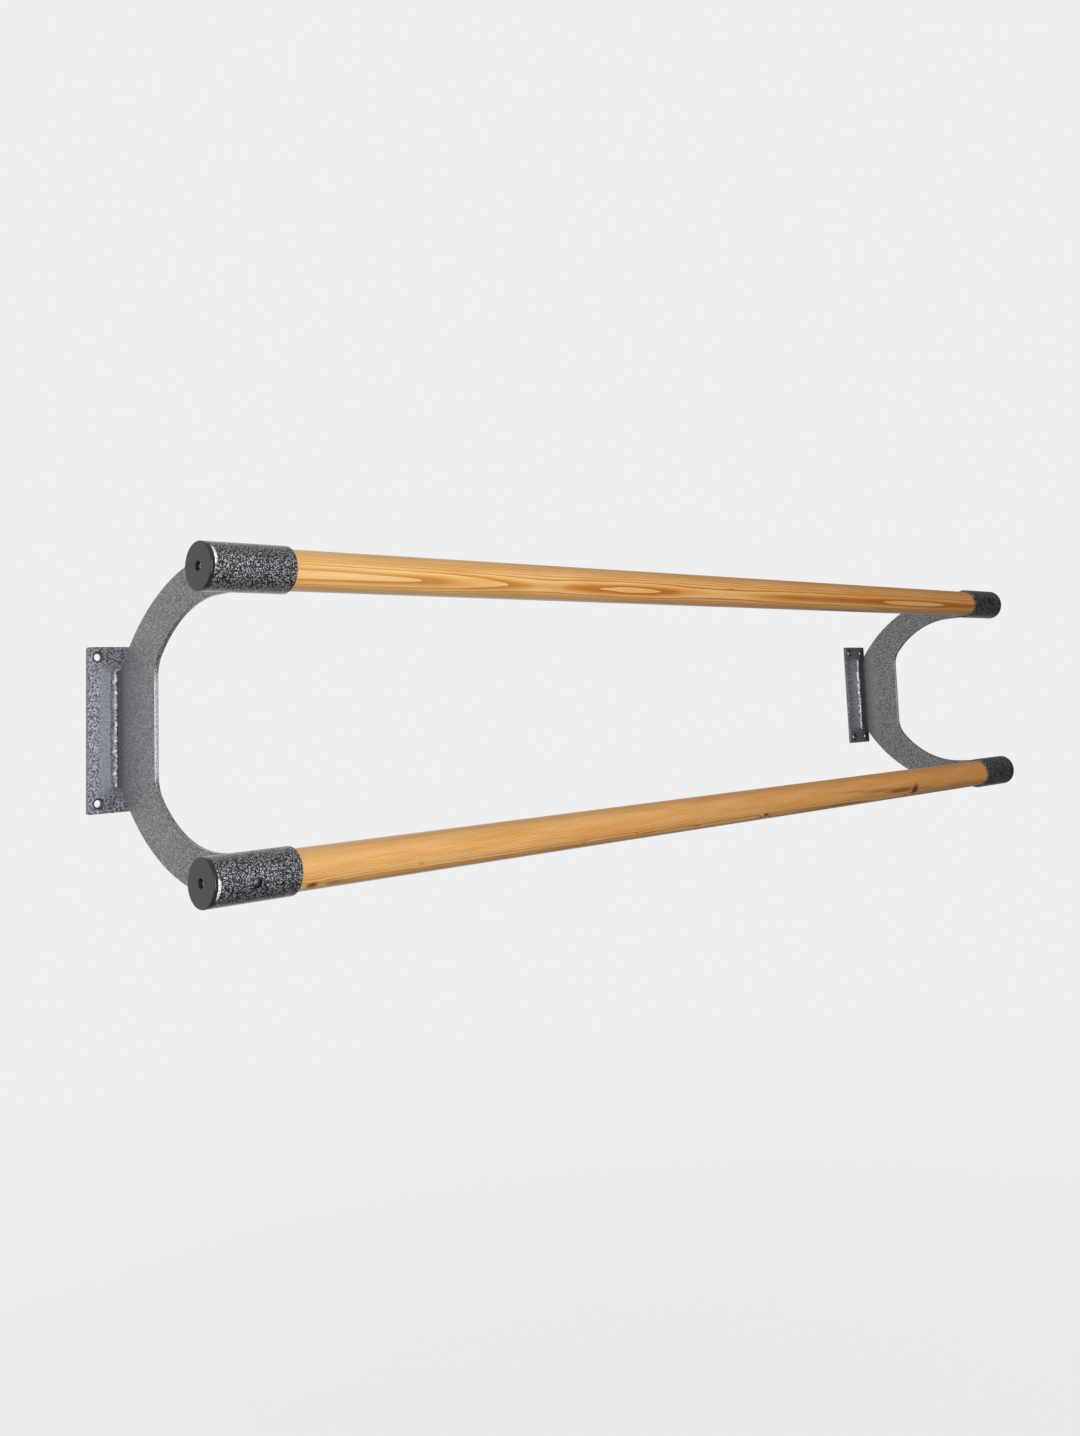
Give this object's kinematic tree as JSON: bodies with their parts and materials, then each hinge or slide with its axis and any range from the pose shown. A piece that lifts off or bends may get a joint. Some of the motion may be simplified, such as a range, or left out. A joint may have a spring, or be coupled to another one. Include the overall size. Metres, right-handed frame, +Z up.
{
  "type": "wall-mounted double ballet barre",
  "caption": "Round wooden barres, one above the other, held in the tube sleeves of C-shaped steel wall brackets, for ballet practice and stretching.",
  "frame": {"origin": "on the wall plane, midway between the brackets and midway between the barres", "axes": "+X along the barres to the right as seen from the room, +Y into the wall, +Z up"},
  "size_m": [1.524, 0.2953, 0.3422],
  "materials": {
    "wall_plate_paint": "silver hammered powder coat, semi-gloss",
    "bracket_paint": "silver hammered powder coat, semi-gloss",
    "sleeve_paint": "dark silver hammered powder coat, semi-gloss",
    "cap_plastic": "dark grey moulded plastic, fine texture",
    "zinc_screw": "bright zinc plate",
    "black_screw": "black oxide, slightly oily",
    "lacquered_pine": "clear lacquer, satin to semi-gloss"
  },
  "bodies": {
    "root": {"wall_plate_left": "wall_plate_paint", "wall_plate_right": "wall_plate_paint", "curved_plate_left": "bracket_paint", "curved_plate_right": "bracket_paint", "plate_weld_left": "bracket_paint", "plate_weld_right": "bracket_paint", "sleeve_upper_left": "sleeve_paint", "sleeve_lower_left": "sleeve_paint", "sleeve_upper_right": "sleeve_paint", "sleeve_lower_right": "sleeve_paint", "outer_weld_upper_left": "bracket_paint", "outer_weld_lower_left": "bracket_paint", "outer_weld_upper_right": "bracket_paint", "outer_weld_lower_right": "bracket_paint", "inner_weld_upper_left": "bracket_paint", "inner_weld_lower_left": "bracket_paint", "inner_weld_upper_right": "bracket_paint", "inner_weld_lower_right": "bracket_paint", "end_cap_upper_left": "cap_plastic", "end_cap_lower_left": "cap_plastic", "end_cap_upper_right": "cap_plastic", "end_cap_lower_right": "cap_plastic", "cap_screw_upper_left": "zinc_screw", "cap_screw_lower_left": "zinc_screw", "cap_screw_upper_right": "zinc_screw", "cap_screw_lower_right": "zinc_screw", "barre_upper": "lacquered_pine", "barre_lower": "lacquered_pine", "locking_screw_upper": "black_screw", "locking_screw_lower": "black_screw"}
  },
  "joints": []
}
